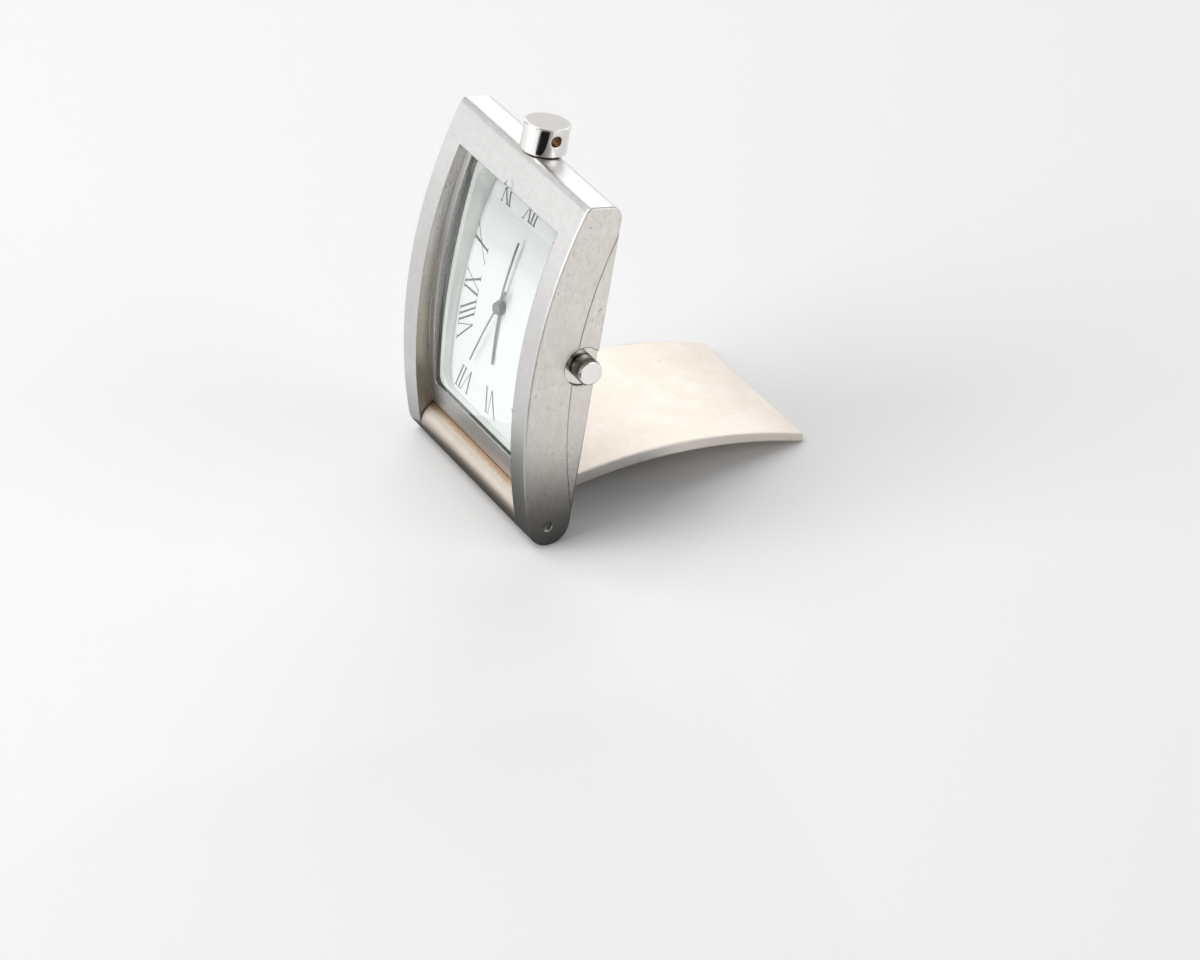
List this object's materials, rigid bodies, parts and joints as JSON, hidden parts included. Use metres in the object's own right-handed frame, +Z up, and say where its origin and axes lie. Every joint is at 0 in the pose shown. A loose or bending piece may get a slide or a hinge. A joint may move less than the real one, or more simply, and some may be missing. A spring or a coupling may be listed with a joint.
{
  "type": "keychain watch",
  "caption": "Small curved rectangular watch for a key ring, whose metal cover swings right round under the case and becomes its stand.",
  "frame": {"origin": "on the floor, at the middle of the plan outline of the watch as it stands open", "axes": "+X towards the crown, +Y towards the back, where the cover reaches as a stand, +Z up"},
  "size_m": [0.0402, 0.0446, 0.0531],
  "materials": {
    "case": "satin silver plating with fine pits",
    "cover": "satin warm plating",
    "barrel": "satin plating, worn to brown",
    "polished": "polished plating",
    "glass": "clear, polished front, ground edges",
    "dial": "matt white",
    "ring": "satin pale grey",
    "hands": "dark grey",
    "brass": "machined",
    "steel": "machined",
    "copper": "enamelled copper wire",
    "plastic": "moulded",
    "rubber": "matt",
    "board": "lacquered",
    "chip": "moulded"
  },
  "bodies": {
    "case": {"case_frame": "case", "rear_cover": "case", "rear_cover_screw": "steel", "rear_cover_gasket": "rubber", "crystal": "glass", "crystal_gasket": "rubber", "dial_ring": "ring", "dial": "dial", "movement_holder": "plastic", "main_plate": "brass", "train_bridge": "brass", "movement_screw": "steel", "coil": "copper", "coil_core": "steel", "stator": "steel", "battery": "steel", "battery_strap": "steel", "circuit_board": "board", "timing_chip": "chip", "quartz_can": "steel", "crown_tube": "steel", "setting_lever": "steel", "yoke": "steel", "hinge_pin": "steel", "hinge_washer": "steel"},
    "cover": {"cover_stand": "cover", "hinge_barrel": "barrel"},
    "knob": {"keyring_knob": "polished", "knob_clip": "steel"},
    "clutch": {"clutch_wheel": "steel"},
    "crown": {"crown": "polished", "crown_gasket": "rubber", "winding_stem": "steel"},
    "rotor": {"rotor": "steel"},
    "intermediate_wheel": {"intermediate_wheel": "brass"},
    "third_wheel": {"third_wheel": "brass"},
    "seconds": {"seconds_wheel": "brass", "seconds_hand": "hands"},
    "minutes": {"centre_wheel": "brass", "cannon_pinion": "steel", "minute_hand": "hands"},
    "minute_wheel": {"minute_wheel": "brass"},
    "hours": {"hour_wheel": "brass", "hour_hand": "hands"}
  },
  "joints": [
    {"name": "cover_hinge", "type": "hinge", "parent": "case", "child": "cover", "pos_m": [-0.00105, -0.01937, 0.00301], "axis": [1, 0, 0], "range_deg": [-277.2, 0]},
    {"name": "knob_swivel", "type": "hinge", "parent": "case", "child": "knob", "pos_m": [-0.00105, -0.00663, 0.04831], "axis": [0, 0.2543, 0.9671], "continuous": true},
    {"name": "crown_turn", "type": "hinge", "parent": "case", "child": "clutch", "pos_m": [0.018, -0.01201, 0.02564], "axis": [1, 0, 0], "continuous": true},
    {"name": "crown_pull", "type": "slide", "parent": "clutch", "child": "crown", "axis": [1, 0, 0], "range_m": [0, 0.0006]},
    {"name": "rotor_turn", "type": "hinge", "parent": "case", "child": "rotor", "pos_m": [-0.00541, -0.01219, 0.02443], "axis": [0, 0.9671, -0.2543], "continuous": true},
    {"name": "intermediate_wheel_turn", "type": "hinge", "parent": "case", "child": "intermediate_wheel", "pos_m": [-0.0034, -0.0121, 0.02478], "axis": [0, 0.9671, -0.2543], "continuous": true},
    {"name": "seconds_turn", "type": "hinge", "parent": "case", "child": "seconds", "pos_m": [-0.00105, -0.01188, 0.0256], "axis": [0, 0.9671, -0.2543], "continuous": true},
    {"name": "third_wheel_turn", "type": "hinge", "parent": "case", "child": "third_wheel", "pos_m": [-0.00186, -0.01131, 0.02777], "axis": [0, 0.9671, -0.2543], "continuous": true},
    {"name": "minutes_turn", "type": "hinge", "parent": "case", "child": "minutes", "pos_m": [-0.00105, -0.01188, 0.0256], "axis": [0, 0.9671, -0.2543], "continuous": true},
    {"name": "minute_wheel_turn", "type": "hinge", "parent": "case", "child": "minute_wheel", "pos_m": [-0.00015, -0.01228, 0.02409], "axis": [0, 0.9671, -0.2543], "continuous": true},
    {"name": "hours_turn", "type": "hinge", "parent": "case", "child": "hours", "pos_m": [-0.00105, -0.01188, 0.0256], "axis": [0, 0.9671, -0.2543], "continuous": true}
  ],
  "couplings": [
    {"joint": "intermediate_wheel_turn", "follows": "rotor_turn", "ratio": -0.13333},
    {"joint": "seconds_turn", "follows": "rotor_turn", "ratio": 0.033333},
    {"joint": "third_wheel_turn", "follows": "rotor_turn", "ratio": -0.0044444},
    {"joint": "minutes_turn", "follows": "rotor_turn", "ratio": 0.00055556},
    {"joint": "minute_wheel_turn", "follows": "rotor_turn", "ratio": -0.00018519},
    {"joint": "hours_turn", "follows": "rotor_turn", "ratio": 0.000046296}
  ]
}
